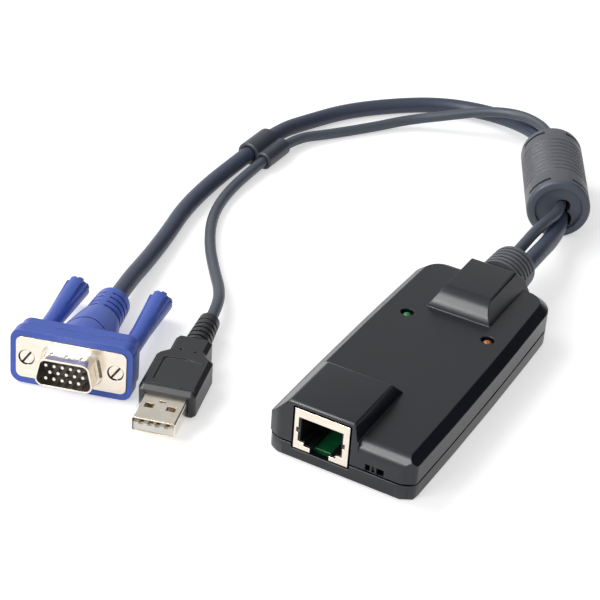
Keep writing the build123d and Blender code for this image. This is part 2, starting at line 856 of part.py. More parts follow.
# Board headers and the stripped ends of the leads that plug into them.
flange_inside = rear - wall - gland_fit - gland_flange
header_rear = board_rear - header_setback
inner_lead_list = [
    ("video", gland_centre + gland_video_offset, inner_video_diameter, video_header_width),
    ("data", gland_centre + gland_data_offset, inner_data_diameter, data_header_width),
]
for name, across, diameter, header_width in inner_lead_list:
    with BuildPart() as header:
        with BuildSketch(Plane.XY.offset(jack_base)):
            with Locations((across, header_rear)):
                Rectangle(header_width, header_depth, align=(Align.CENTER, Align.MAX))
        extrude(amount=header_height)
    header.part.label = f"{name}_header"
    export_step(header.part, f"parts/{name}_header.step")
    lead_low = jack_base + header_height / 2
    with BuildPart() as inner_lead:
        with BuildLine() as inner_path:
            FilletPolyline(
                (across, flange_inside, gland_lead_height),
                (across, flange_inside - inner_lead_run, gland_lead_height),
                (across, header_rear + inner_lead_run, lead_low),
                (across, header_rear, lead_low),
                radius=diameter / 2,
            )
        with BuildSketch(Plane(origin=inner_path.line @ 0, z_dir=inner_path.line % 0)):
            Circle(diameter / 2)
        sweep()
    inner_lead.part.label = f"inner_{name}_lead"
    export_step(inner_lead.part, f"parts/inner_{name}_lead.step")

# Ferrite core in its moulded jacket. Local Z runs along the leads, away from the housing.
core_yaw = radians(core_turn)
core_plane = Plane(
    origin=(core_front_x, core_front_y, core_radius),
    x_dir=(-cos(core_yaw), -sin(core_yaw), 0),
    z_dir=(-sin(core_yaw), cos(core_yaw), 0),
)
video_in_core = core_video_height - core_radius
data_in_core = core_data_height - core_radius
with BuildPart() as core_jacket:
    with BuildSketch(core_plane):
        Circle(core_radius)
    extrude(amount=core_length)
    chamfer(core_jacket.edges().filter_by(GeomType.CIRCLE), core_chamfer)
    with BuildSketch(core_plane.offset(core_cap)):
        Circle(core_radius - core_wall)
    extrude(amount=core_length - 2 * core_cap, mode=Mode.SUBTRACT)
    for end, inward in ((0.0, 1), (core_length, -1)):
        with BuildSketch(core_plane.offset(end)):
            Circle(core_recess_radius)
        extrude(amount=inward * core_recess_depth, mode=Mode.SUBTRACT)
    with BuildSketch(core_plane):
        with Locations((core_lead_side, video_in_core)):
            Circle(video_lead_diameter / 2 + core_hole_margin)
        with Locations((core_lead_side, data_in_core)):
            Circle(data_lead_diameter / 2 + core_hole_margin)
        make_hull()
    extrude(amount=core_length, mode=Mode.SUBTRACT)
    for index in range(core_groove_count):
        with BuildSketch(core_plane.offset(core_groove_start + index * core_groove_pitch)):
            Circle(core_radius + core_groove_depth)
            Circle(core_radius - core_groove_depth, mode=Mode.SUBTRACT)
        extrude(amount=core_groove_width, mode=Mode.SUBTRACT)
    for station in (core_slit_margin, core_length - core_slit_margin - core_slit_width):
        with BuildSketch(core_plane.offset(station)):
            Circle(core_radius + core_slit_depth)
            Circle(core_radius - core_slit_depth, mode=Mode.SUBTRACT)
            Rectangle(3 * core_radius, core_slit_bridge, mode=Mode.SUBTRACT)
            Rectangle(core_slit_bridge, 3 * core_radius, mode=Mode.SUBTRACT)
        extrude(amount=core_slit_width, mode=Mode.SUBTRACT)
core_jacket.part.label = "core_jacket"
export_step(core_jacket.part, "parts/core_jacket.step")

with BuildPart() as ferrite_core:
    with BuildSketch(core_plane.offset(core_cap + core_fit)):
        Circle(core_radius - core_wall - core_fit)
        Circle(ferrite_bore, mode=Mode.SUBTRACT)
    extrude(amount=core_length - 2 * (core_cap + core_fit))
ferrite_core.part.label = "ferrite_core"
export_step(ferrite_core.part, "parts/ferrite_core.step")

# Figure-of-eight clip that holds the two leads side by side on the table.
clip_video_radius = video_lead_diameter / 2 + clip_clearance + clip_wall
clip_data_radius = data_lead_diameter / 2 + clip_clearance + clip_wall
with BuildPart() as lead_clip:
    with BuildSketch(Plane.XZ.offset(-clip_middle - clip_length / 2)):
        with Locations((clip_video_x, clip_video_radius)):
            Circle(clip_video_radius)
        with Locations((clip_data_x, clip_data_radius)):
            Circle(clip_data_radius)
    extrude(amount=clip_length)
    end_faces = lead_clip.faces().filter_by(Axis.Y)
    chamfer(end_faces.edges(), clip_edge)
    with BuildSketch(Plane.XZ.offset(-clip_middle - clip_length / 2)):
        with Locations((clip_video_x, clip_video_radius)):
            Circle(video_lead_diameter / 2 + clip_clearance)
        with Locations((clip_data_x, clip_data_radius)):
            Circle(data_lead_diameter / 2 + clip_clearance)
    extrude(amount=clip_length, mode=Mode.SUBTRACT)
lead_clip.part.label = "lead_clip"
export_step(lead_clip.part, "parts/lead_clip.step")

# Video plug
video_plane = plug_plane(video_plug_x, video_plug_y, video_plug_height, video_plug_turn, video_plug_tilt)
jackscrew_places = [(-screw_spacing / 2, 0), (screw_spacing / 2, 0)]


def shell_outline(inset):
    # D outline of the plug: wide side down, corners rounded.
    half_height = shell_height / 2 - inset
    low_half = shell_wide / 2 - inset
    high_half = shell_narrow / 2 - inset
    with BuildSketch() as outline:
        with BuildLine():
            Polyline(
                (-low_half, -half_height),
                (low_half, -half_height),
                (high_half, half_height),
                (-high_half, half_height),
                close=True,
            )
        make_face()
        fillet(outline.vertices(), shell_corner - inset)
    return outline.sketch


def dome_sections(shrink):
    # Cross-sections of the moulded dome behind the shoulders.
    sections = []
    for station, across, up in (
        (dome_start, dome_half_width, dome_half_height),
        (dome_middle, dome_middle_width, dome_middle_height),
        (dome_end, dome_end_radius, dome_end_radius),
    ):
        with BuildSketch(video_plane.offset(-station)) as section:
            Ellipse(across - shrink, up - shrink)
        sections.append(section.sketch)
    return sections


# Groove on top of the dome, of even depth below its curved surface.
dome_skin = dome_sections(smile_depth)
with BuildPart() as smile_cut:
    with BuildSketch(deck_plane(video_plane, 0)):
        with BuildLine() as smile:
            ThreePointArc((-smile_half, smile_front), (0, smile_rear), (smile_half, smile_front))
        trace(smile.line, smile_width)
    extrude(amount=dome_half_height + smile_depth)
    loft(sections=dome_skin, mode=Mode.SUBTRACT)

shell_outer = shell_outline(0)
insulator_outline = shell_outline(shell_sheet + insulator_fit)
pocket_outline = shell_outline(shell_sheet)
dome_outer = dome_sections(0)

with BuildPart() as video_hood:
    with BuildSketch(video_plane.offset(-rim_setback)):
        RectangleRounded(rim_width, rim_height, rim_corner)
    extrude(amount=-(rim_end - rim_setback))
    with BuildSketch(video_plane.offset(-rim_end)):
        RectangleRounded(shoulder_neck_width, shoulder_neck_height, rim_corner)
    extrude(amount=-(shoulder_neck_end - rim_end))
    with BuildSketch(video_plane.offset(-shoulder_neck_end)):
        RectangleRounded(shoulder_width, shoulder_height, rim_corner)
    extrude(amount=-(shoulder_end - shoulder_neck_end))
    chamfer(video_hood.faces().sort_by(Axis(video_plane.origin, video_plane.z_dir))[0].edges(), shoulder_chamfer)
    loft(sections=dome_outer)
    with BuildSketch(video_plane.offset(-dome_end + relief_groove_width)):
        Circle(relief_root_radius)
    with BuildSketch(video_plane.offset(-relief_end)):
        Circle(relief_end_radius)
    loft()
    add(smile_cut.part, mode=Mode.SUBTRACT)
    for index in range(relief_groove_count):
        with BuildSketch(video_plane.offset(-relief_groove_start - index * relief_groove_pitch)):
            Circle(dome_end_radius + relief_groove_depth)
            Circle(relief_end_radius - relief_groove_depth / 2, mode=Mode.SUBTRACT)
            Rectangle(relief_groove_width * 2, 3 * dome_end_radius, mode=Mode.SUBTRACT)
        extrude(amount=-relief_groove_width, mode=Mode.SUBTRACT)
    with BuildSketch(video_plane):
        RectangleRounded(plate_width + 2 * plate_fit, plate_height + 2 * plate_fit, plate_corner + plate_fit)
    extrude(amount=-plate_thickness, mode=Mode.SUBTRACT)
    with BuildSketch(video_plane):
        add(pocket_outline)
    extrude(amount=-insulator_rear - insulator_fit, mode=Mode.SUBTRACT)
    with BuildSketch(video_plane):
        with Locations(*jackscrew_places):
            Circle(jackscrew_radius + jackscrew_clearance)
    extrude(amount=-shoulder_end, mode=Mode.SUBTRACT)
    with BuildSketch(video_plane):
        with Locations(*jackscrew_places):
            Circle(collar_radius + collar_clearance)
    extrude(amount=-(collar_setback + collar_depth + collar_clearance), mode=Mode.SUBTRACT)
    with BuildSketch(video_plane.offset(-relief_end)):
        Circle(video_lead_diameter / 2 + lead_clearance)
    extrude(amount=lead_socket, mode=Mode.SUBTRACT)
video_hood.part.label = "video_hood"
export_step(video_hood.part, "parts/video_hood.step")

# Stamped plate with the drawn D shell, flared at its root and dimpled on top.
with BuildPart() as video_shell:
    with BuildSketch(video_plane.offset(-plate_thickness)):
        RectangleRounded(plate_width, plate_height, plate_corner)
    extrude(amount=plate_thickness)
    with BuildSketch(video_plane):
        add(shell_outer)
        offset(amount=shell_flare)
    extrude(amount=shell_flare_height, taper=shell_flare_angle)
    with BuildSketch(video_plane):
        add(shell_outer)
    extrude(amount=shell_reach)
    with BuildSketch(deck_plane(video_plane, shell_height / 2 - dimple_depth)):
        with Locations((0, -dimple_station)):
            with GridLocations(dimple_pitch, 0, 3, 1):
                Circle(dimple_radius)
    extrude(amount=shell_sheet, mode=Mode.SUBTRACT)
    with BuildSketch(video_plane.offset(-plate_thickness)):
        add(pocket_outline)
        with Locations(*jackscrew_places):
            Circle(collar_radius + collar_clearance)
    extrude(amount=plate_thickness + shell_reach, mode=Mode.SUBTRACT)
video_shell.part.label = "video_shell"
export_step(video_shell.part, "parts/video_shell.step")

# Fifteen pins in three rows and the block that carries them.
pin_rows = [(pin_row, pin_outer_shift), (0.0, pin_middle_shift), (-pin_row, pin_outer_shift)]
pin_places = [
    (shift + (column - (pin_columns - 1) / 2) * pin_pitch, up)
    for up, shift in pin_rows
    for column in range(pin_columns)
]
with BuildPart() as video_insulator:
    with BuildSketch(video_plane.offset(-insulator_rear)):
        add(insulator_outline)
        with Locations(*pin_places):
            Circle(pin_radius + pin_fit, mode=Mode.SUBTRACT)
    extrude(amount=insulator_rear + insulator_front)
video_insulator.part.label = "video_insulator"
export_step(video_insulator.part, "parts/video_insulator.step")

with BuildPart() as video_pins:
    with BuildSketch(video_plane.offset(-pin_root)):
        with Locations(*pin_places):
            Circle(pin_radius)
    extrude(amount=pin_root + pin_reach)
video_pins.part.label = "video_pins"
export_step(video_pins.part, "parts/video_pins.step")

# Captive thumbscrews: slotted collar, running shaft and a fluted knob that flares to its end.
knob_start = shoulder_end + knob_gap
for name, place in zip(("thumbscrew_left", "thumbscrew_right"), jackscrew_places):
    screw_plane = Plane(
        origin=video_plane.from_local_coords((place[0], place[1], 0)), x_dir=video_plane.x_dir, z_dir=video_plane.z_dir
    )
    with BuildPart() as thumbscrew:
        with BuildSketch(screw_plane.offset(-collar_setback)):
            Circle(collar_radius)
        extrude(amount=-collar_depth)
        with BuildSketch(screw_plane.offset(-collar_setback - collar_depth)):
            Circle(jackscrew_radius)
        extrude(amount=-(knob_start - collar_setback - collar_depth))
        with BuildSketch(screw_plane.offset(-knob_start)):
            Circle(knob_stem_radius)
        with BuildSketch(screw_plane.offset(-knob_waist)):
            Circle(knob_waist_radius)
        with BuildSketch(screw_plane.offset(-knob_end)):
            Circle(knob_end_radius)
        loft(ruled=True)
        chamfer(thumbscrew.faces().sort_by(Axis(screw_plane.origin, screw_plane.z_dir))[0].edges(), knob_end_chamfer)
        with BuildSketch(screw_plane.offset(-knob_end)):
            with PolarLocations(knob_end_radius, flute_count, start_angle=45):
                Circle(flute_radius)
        extrude(amount=knob_end - knob_waist, mode=Mode.SUBTRACT)
        with BuildSketch(screw_plane.offset(-knob_end)):
            Rectangle(2 * knob_end_radius, knob_slot_width)
            Rectangle(knob_slot_width, 2 * knob_end_radius)
        extrude(amount=knob_slot_depth, mode=Mode.SUBTRACT)
        with BuildSketch(screw_plane.offset(-collar_setback)):
            Rectangle(collar_slot_width, 2 * collar_radius, rotation=collar_slot_turn)
        extrude(amount=-collar_slot_depth, mode=Mode.SUBTRACT)
    thumbscrew.part.label = name
    export_step(thumbscrew.part, f"parts/{name}.step")

# Data plug
data_plane = plug_plane(data_plug_x, data_plug_y, data_plug_height, data_plug_turn, 0.0)
inside_width = usb_width - 2 * usb_sheet
inside_height = usb_height - 2 * usb_sheet

with BuildPart() as data_overmould:
    with BuildSketch(deck_plane(data_plane, -mould_height / 2)) as mould_plan:
        with BuildLine():
            Polyline(
                (-mould_half, mould_front),
                (mould_half, mould_front),
                (mould_half, mould_shoulder),
                (mould_waist_half, mould_waist),
                (mould_waist_half, mould_rear),
                (-mould_waist_half, mould_rear),
                (-mould_waist_half, mould_waist),
                (-mould_half, mould_shoulder),
                close=True,
            )
        make_face()
        fillet(mould_plan.vertices(), mould_corner)
    extrude(amount=mould_height)
    chamfer(data_overmould.faces().sort_by(Axis.Z)[-1].edges(), mould_chamfer)
    chamfer(data_overmould.faces().sort_by(Axis.Z)[0].edges(), mould_chamfer)
    with BuildSketch(data_plane.offset(-mould_rear)):
        Circle(data_relief_root_radius)
    with BuildSketch(data_plane.offset(-data_relief_end)):
        Circle(data_relief_tip_radius)
    loft()
    for index in range(data_relief_groove_count):
        with BuildSketch(data_plane.offset(-data_relief_groove_start - index * data_relief_groove_pitch)):
            Circle(data_relief_root_radius + data_relief_groove_depth)
            Circle(data_relief_tip_radius - data_relief_groove_depth / 2, mode=Mode.SUBTRACT)
        extrude(amount=-data_relief_groove_width, mode=Mode.SUBTRACT)
    with BuildSketch(data_plane.offset(-mould_front)):
        Rectangle(usb_width + 2 * usb_fit, usb_height + 2 * usb_fit)
    extrude(amount=-(usb_rear - mould_front) - usb_fit, mode=Mode.SUBTRACT)
    with BuildSketch(deck_plane(data_plane, mould_height / 2 - mould_groove_depth)):
        with BuildLine() as corner_line:
            FilletPolyline((-4.8, 15.6), (-4.9, 26.2), (0.5, 26.6), (5.3, 25.6), radius=0.8)
        trace(corner_line.line, mould_groove_width)
        with Locations((0, mould_front + mould_collar)):
            Rectangle(2 * mould_half, mould_groove_width)
        with Locations((-1.8, 31.0), (2.4, 30.7)):
            Circle(mould_dimple_radius)
    extrude(amount=mould_height, mode=Mode.SUBTRACT)
    with BuildSketch(data_plane.offset(-data_relief_end)):
        Circle(data_lead_diameter / 2 + lead_clearance)
    extrude(amount=lead_socket, mode=Mode.SUBTRACT)
data_overmould.part.label = "data_overmould"
export_step(data_overmould.part, "parts/data_overmould.step")

# Folded steel sleeve with two latch windows above and below, and a stamped slot on top.
with BuildPart() as data_shell:
    with BuildSketch(data_plane.offset(-usb_rear)):
        RectangleRounded(usb_width, usb_height, usb_corner)
        RectangleRounded(inside_width, inside_height, usb_corner - usb_sheet, mode=Mode.SUBTRACT)
    extrude(amount=usb_rear)
    with BuildSketch(deck_plane(data_plane, -usb_height)):
        with Locations((0, usb_window_station)):
            with GridLocations(usb_window_spread, 0, 2, 1):
                Rectangle(usb_window_width, usb_window_length)
    extrude(amount=2 * usb_height, mode=Mode.SUBTRACT)
    with BuildSketch(deck_plane(data_plane, 0)):
        with Locations((0, usb_slot_station)):
            Rectangle(usb_slot_width, usb_slot_length)
    extrude(amount=usb_height, mode=Mode.SUBTRACT)
data_shell.part.label = "data_shell"
export_step(data_shell.part, "parts/data_shell.step")

with BuildPart() as data_insulator:
    insert_width = inside_width - 2 * usb_fit
    insert_bottom = -inside_height / 2 + usb_fit
    with BuildSketch(deck_plane(data_plane, insert_bottom)):
        with Locations((0, usb_insert_setback)):
            Rectangle(insert_width, usb_rear - usb_insert_setback, align=(Align.CENTER, Align.MIN))
    extrude(amount=usb_insert_height)
    with BuildSketch(deck_plane(data_plane, insert_bottom)):
        with Locations((0, usb_insert_step)):
            Rectangle(insert_width, usb_rear - usb_insert_step, align=(Align.CENTER, Align.MIN))
    extrude(amount=inside_height - 2 * usb_fit)
    with BuildSketch(deck_plane(data_plane, insert_bottom + usb_insert_height - usb_channel_depth)):
        with Locations(*[(place, usb_insert_setback) for place in usb_contact_places]):
            Rectangle(
                usb_contact_width + 2 * usb_fit,
                usb_insert_step - usb_insert_setback,
                align=(Align.CENTER, Align.MIN),
            )
    extrude(amount=usb_channel_depth, mode=Mode.SUBTRACT)
data_insulator.part.label = "data_insulator"
export_step(data_insulator.part, "parts/data_insulator.step")

with BuildPart() as data_contacts:
    with BuildSketch(deck_plane(data_plane, insert_bottom + usb_insert_height - usb_channel_depth)):
        with Locations(*[(place, usb_contact_front) for place in usb_contact_places]):
            Rectangle(usb_contact_width, usb_contact_rear - usb_contact_front, align=(Align.CENTER, Align.MIN))
    extrude(amount=usb_contact_thickness)
data_contacts.part.label = "data_contacts"
export_step(data_contacts.part, "parts/data_contacts.step")


def core_point(along, up):
    # A point inside the core, on the line of the leads.
    return tuple(core_plane.from_local_coords((core_lead_side, up - core_radius, along)))


def plug_point(plug, behind):
    # A point on a plug's axis, behind its mouth.
    return tuple(plug.from_local_coords((0, 0, -behind)))


# Video lead, from the gland through the core and the clip to the video plug.
lead_start = gland_tip - lead_socket
video_points = [
    (gland_centre + gland_video_offset, lead_start, gland_lead_height),
    (gland_centre + gland_video_offset, 69.0, gland_lead_height),
    (3.8, 84.0, 7.6),
    core_point(-1.0, core_video_height + 0.05),
    core_point(19.0, core_video_height),
    core_point(39.0, core_video_height),
    (-25.8, 149.5, 5.9),
    (-38.0, 158.4, 4.4),
    (-54.0, 161.3, 3.2),
    (-69.5, 157.6, 2.8),
    (-83.0, 146.6, 2.7),
    (-94.3, 133.0, 2.7),
    (-100.8, 118.0, 2.9),
    (clip_video_x, 104.0, clip_video_radius),
    (clip_video_x, 77.0, clip_video_radius),
    (-105.4, 59.0, 2.75),
    (-103.4, 41.5, 2.7),
    (-99.2, 25.5, 2.75),
    (-95.6, 9.5, 3.3),
    plug_point(video_plane, relief_end + 14.0),
    plug_point(video_plane, relief_end - lead_socket),
]
video_lead = build_lead("video_lead", video_points, video_lead_diameter)

# Data lead, on the inside of the video lead all the way to the data plug.
data_points = [
    (gland_centre + gland_data_offset, lead_start, gland_lead_height),
    (gland_centre + gland_data_offset, 68.5, gland_lead_height),
    (-0.6, 83.5, 11.0),
    core_point(-1.0, core_data_height + 0.05),
    core_point(19.0, core_data_height),
    core_point(39.0, core_data_height),
    (-22.0, 144.0, 10.7),
    (-29.0, 151.2, 10.3),
    (-38.5, 154.7, 9.5),
    (-49.0, 152.9, 8.2),
    (-60.5, 146.7, 5.6),
    (-72.5, 140.6, 2.9),
    (-81.0, 130.2, 1.85),
    (-91.0, 116.0, 1.9),
    (clip_data_x, 103.5, clip_data_radius),
    (clip_data_x, 76.0, clip_data_radius - 0.1),
    (-98.6, 60.0, 1.9),
    (-94.8, 45.0, 1.75),
    (-86.6, 30.0, 1.75),
    (-76.2, 16.5, 2.0),
    (-69.6, 8.4, 3.1),
    plug_point(data_plane, data_relief_end + 9.5),
    plug_point(data_plane, data_relief_end - lead_socket),
]
data_lead = build_lead("data_lead", data_points, data_lead_diameter)
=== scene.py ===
import json
import math

import bmesh
import bpy
from mathutils import Matrix, Vector


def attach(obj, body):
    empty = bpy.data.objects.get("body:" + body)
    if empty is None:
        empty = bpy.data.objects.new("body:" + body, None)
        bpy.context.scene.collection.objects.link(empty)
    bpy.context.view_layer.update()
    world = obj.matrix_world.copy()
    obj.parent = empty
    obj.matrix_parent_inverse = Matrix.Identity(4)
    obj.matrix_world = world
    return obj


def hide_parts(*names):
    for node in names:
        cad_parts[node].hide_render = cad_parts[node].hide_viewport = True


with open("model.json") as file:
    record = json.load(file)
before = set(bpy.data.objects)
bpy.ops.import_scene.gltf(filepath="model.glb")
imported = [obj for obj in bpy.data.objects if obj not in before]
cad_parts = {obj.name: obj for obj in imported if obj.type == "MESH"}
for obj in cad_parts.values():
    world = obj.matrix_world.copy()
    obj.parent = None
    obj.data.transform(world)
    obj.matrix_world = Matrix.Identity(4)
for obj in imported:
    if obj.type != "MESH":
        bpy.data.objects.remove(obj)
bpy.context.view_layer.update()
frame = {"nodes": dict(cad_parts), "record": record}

# A server access module on a white table: charcoal housing, two leads through a ribbed gland
# and a ferrite core, a blue video plug and a black data plug. Metres, Z up.

nodes = frame["nodes"]
print("frame loaded,", len(nodes), "nodes")


def hexColour(code):
    # sRGB hex to linear RGBA
    channels = [int(code[i:i + 2], 16) / 255 for i in (1, 3, 5)]
    linear = [c / 12.92 if c <= 0.04045 else ((c + 0.055) / 1.055) ** 2.4 for c in channels]
    return (*linear, 1.0)


def addNode(tree, kind, settings=None, values=None, links=None):
    # one node, its settings, its socket values and the outputs that feed it
    node = tree.nodes.new(kind)
    for name, value in (settings or {}).items():
        setattr(node, name, value)
    for name, value in (values or {}).items():
        node.inputs[name].default_value = value
    for name, output in (links or {}).items():
        tree.links.new(output, node.inputs[name])
    return node


# The camera of the photograph, fitted to the plugs and the jack.
cameraSettings = {
    "place": (0.155975, -0.376907, 0.286921),
    "target": (-0.0490, 0.02066, 0.0),
    "roll": 4.039,       # degrees, about the line of sight
    "lens": 107.63,
    "sensor": 36.0,
    "nearest": 0.01,
}
cameraData = bpy.data.cameras.new("productCamera")
cameraData.lens = cameraSettings["lens"]
cameraData.sensor_width = cameraSettings["sensor"]
cameraData.clip_start = cameraSettings["nearest"]
camera = bpy.data.objects.new("productCamera", cameraData)
bpy.context.scene.collection.objects.link(camera)
camera.location = cameraSettings["place"]
sight = Vector(cameraSettings["target"]) - Vector(cameraSettings["place"])
camera.rotation_euler = sight.to_track_quat("-Z", "Y").to_euler()
camera.rotation_euler.rotate_axis("Z", math.radians(cameraSettings["roll"]))
bpy.context.scene.camera = camera
print("camera set")


# Both leads follow the points of the part's own leads, from the gland to the plug.
videoLeadSettings = {
    "diameter": 0.0054,
    "length": 0.3382,
    "points": [
        (0.0051, 0.0578, 0.0106), (0.0051, 0.0690, 0.0106), (0.0038, 0.0840, 0.0076),
        (0.00137, 0.09866, 0.00620), (-0.00749, 0.11660, 0.00615), (-0.01634, 0.13453, 0.00615),
        (-0.0258, 0.1495, 0.0059), (-0.0380, 0.1584, 0.0044), (-0.0540, 0.1613, 0.0032),
        (-0.0695, 0.1576, 0.0028), (-0.0830, 0.1466, 0.0027), (-0.0943, 0.1330, 0.0027),
        (-0.1008, 0.1180, 0.0029), (-0.1047, 0.1040, 0.00395), (-0.1047, 0.0770, 0.00395),
        (-0.1054, 0.0590, 0.00275), (-0.1034, 0.0415, 0.0027), (-0.0992, 0.0255, 0.00275),
        (-0.0956, 0.0095, 0.0033), (-0.09224, -0.00622, 0.00475), (-0.08790, -0.02074, 0.00594),
    ],
}
dataLeadSettings = {
    "diameter": 0.0035,
    "length": 0.3193,
    "points": [
        (-0.0004, 0.0578, 0.0106), (-0.0004, 0.0685, 0.0106), (-0.0006, 0.0835, 0.0110),
        (0.00137, 0.09866, 0.01100), (-0.00749, 0.11660, 0.01095), (-0.01634, 0.13453, 0.01095),
        (-0.0220, 0.1440, 0.0107), (-0.0290, 0.1512, 0.0103), (-0.0385, 0.1547, 0.0095),
        (-0.0490, 0.1529, 0.0082), (-0.0605, 0.1467, 0.0056), (-0.0725, 0.1406, 0.0029),
        (-0.0810, 0.1302, 0.00185), (-0.0910, 0.1160, 0.0019), (-0.0990, 0.1035, 0.0030),
        (-0.0990, 0.0760, 0.0029), (-0.0986, 0.0600, 0.0019), (-0.0948, 0.0450, 0.00175),
        (-0.0866, 0.0300, 0.00175), (-0.0762, 0.0165, 0.0020), (-0.0696, 0.0084, 0.0031),
        (-0.06417, -0.00102, 0.00430), (-0.06128, -0.01132, 0.00430),
    ],
}


leadMeshSettings = {"roundSteps": 6, "lengthSteps": 12, "order": 3}


def makeLead(name, settings):
    curve = bpy.data.curves.new(name, "CURVE")
    curve.dimensions = "3D"
    curve.bevel_depth = settings["diameter"] / 2
    curve.bevel_resolution = leadMeshSettings["roundSteps"]
    curve.resolution_u = leadMeshSettings["lengthSteps"]
    curve.use_fill_caps = True
    spline = curve.splines.new("NURBS")
    spline.points.add(len(settings["points"]) - 1)
    for controlPoint, place in zip(spline.points, settings["points"]):
        controlPoint.co = (*place, 1.0)
    spline.order_u = leadMeshSettings["order"]
    spline.use_endpoint_u = True
    lead = bpy.data.objects.new(name, curve)
    bpy.context.scene.collection.objects.link(lead)
    return lead


videoLead = makeLead("videoLead", videoLeadSettings)
dataLead = makeLead("dataLead", dataLeadSettings)
print("leads laid")


def startMaterial(name):
    material = bpy.data.materials.new(name)
    material.use_nodes = True
    tree = material.node_tree
    tree.nodes.clear()
    shader = addNode(tree, "ShaderNodeBsdfPrincipled")
    addNode(tree, "ShaderNodeOutputMaterial", links={"Surface": shader.outputs["BSDF"]})
    place = addNode(tree, "ShaderNodeTexCoord").outputs["Object"]
    return material, tree, shader, place


def mouldedPlastic(name, settings):
    # Injection moulding: an even colour with a faint flow mottle, a fine sparked grain from the tool, and
    # arrises rounded in the shading and painted paler, partly as rubbing from handling and partly as a
    # painted edge highlight.
    material, tree, shader, place = startMaterial(name)
    mottle = addNode(tree, "ShaderNodeTexNoise", links={"Vector": place},
                     values={"Scale": 1 / settings["mottleSize"], "Detail": settings["mottleDetail"]})
    body = addNode(tree, "ShaderNodeMixRGB", links={"Fac": mottle.outputs["Fac"]},
                   values={"Color1": hexColour(settings["dark"]), "Color2": hexColour(settings["light"])})
    softEdge = addNode(tree, "ShaderNodeBevel", {"samples": settings["edgeSamples"]},
                       {"Radius": settings["edgeRadius"]})
    faceNormal = addNode(tree, "ShaderNodeNewGeometry").outputs["Normal"]
    lean = addNode(tree, "ShaderNodeVectorMath", {"operation": "DOT_PRODUCT"},
                   links={0: softEdge.outputs["Normal"], 1: faceNormal})
    # paler arrises where the Bevel normal leans off the face: partly rubbed wear, partly a painted edge
    # highlight
    edgeWearAndHighlight = addNode(tree, "ShaderNodeMapRange", links={"Value": lean.outputs["Value"]},
                   values={"From Min": 1.0, "From Max": settings["edgeWearAndHighlightLean"], "To Max": settings["edgeWearAndHighlight"]})
    wornAndHighlightEdge = addNode(tree, "ShaderNodeMixRGB", values={"Color2": hexColour(settings["wornAndHighlightEdge"])},
                   links={"Fac": edgeWearAndHighlight.outputs["Result"], "Color1": body.outputs["Color"]})
    tree.links.new(wornAndHighlightEdge.outputs["Color"], shader.inputs["Base Color"])
    grain = addNode(tree, "ShaderNodeTexNoise", links={"Vector": place},
                    values={"Scale": 1 / settings["grainSize"], "Detail": settings["grainDetail"]})
    bump = addNode(tree, "ShaderNodeBump",
                   values={"Strength": settings["grainStrength"], "Distance": settings["grainDepth"]},
                   links={"Height": grain.outputs["Fac"], "Normal": softEdge.outputs["Normal"]})
    tree.links.new(bump.outputs["Normal"], shader.inputs["Normal"])
    below, above = settings["glossSpread"]
    gloss = addNode(tree, "ShaderNodeMapRange", links={"Value": mottle.outputs["Fac"]},
                    values={"To Min": settings["roughness"] - below, "To Max": settings["roughness"] + above})
    tree.links.new(gloss.outputs["Result"], shader.inputs["Roughness"])
    shader.inputs["IOR"].default_value = settings["ior"]
    return material


def platedMetal(name, settings):
    # Plating over stamped sheet: bright, with faint rolling streaks along one axis.
    material, tree, shader, place = startMaterial(name)
    stretch = addNode(tree, "ShaderNodeMapping", values={"Scale": settings["streak"]},
                      links={"Vector": place})
    streaks = addNode(tree, "ShaderNodeTexNoise", links={"Vector": stretch.outputs["Vector"]},
                      values={"Scale": 1 / settings["streakSize"], "Detail": settings["streakDetail"]})
    tone = addNode(tree, "ShaderNodeMixRGB", links={"Fac": streaks.outputs["Fac"]},
                   values={"Color1": hexColour(settings["dark"]), "Color2": hexColour(settings["light"])})
    tree.links.new(tone.outputs["Color"], shader.inputs["Base Color"])
    softEdge = addNode(tree, "ShaderNodeBevel", {"samples": settings["edgeSamples"]},
                       {"Radius": settings["edgeRadius"]})
    tree.links.new(softEdge.outputs["Normal"], shader.inputs["Normal"])
    below, above = settings["glossSpread"]
    gloss = addNode(tree, "ShaderNodeMapRange", links={"Value": streaks.outputs["Fac"]},
                    values={"To Min": settings["roughness"] - below, "To Max": settings["roughness"] + above})
    tree.links.new(gloss.outputs["Result"], shader.inputs["Roughness"])
    shader.inputs["Metallic"].default_value = 1.0
    return material


# sizes in metres; the grain is drawn coarser than the real one, about 0.1 mm, so that it shows
plasticBasics = {
    "mottleSize": 0.018, "mottleDetail": 3.0, "edgeRadius": 0.00028, "edgeSamples": 6,
    # the paler arrises are partly wear and partly a painted edge highlight
    "edgeWearAndHighlight": 0.5, "edgeWearAndHighlightLean": 0.80, "grainSize": 0.00045, "grainDetail": 2.0,
    "grainStrength": 0.35, "grainDepth": 0.00003, "glossSpread": (0.04, 0.05), "ior": 1.5,
}
metalBasics = {"streakDetail": 4.0, "edgeSamples": 6, "glossSpread": (0.05, 0.08)}

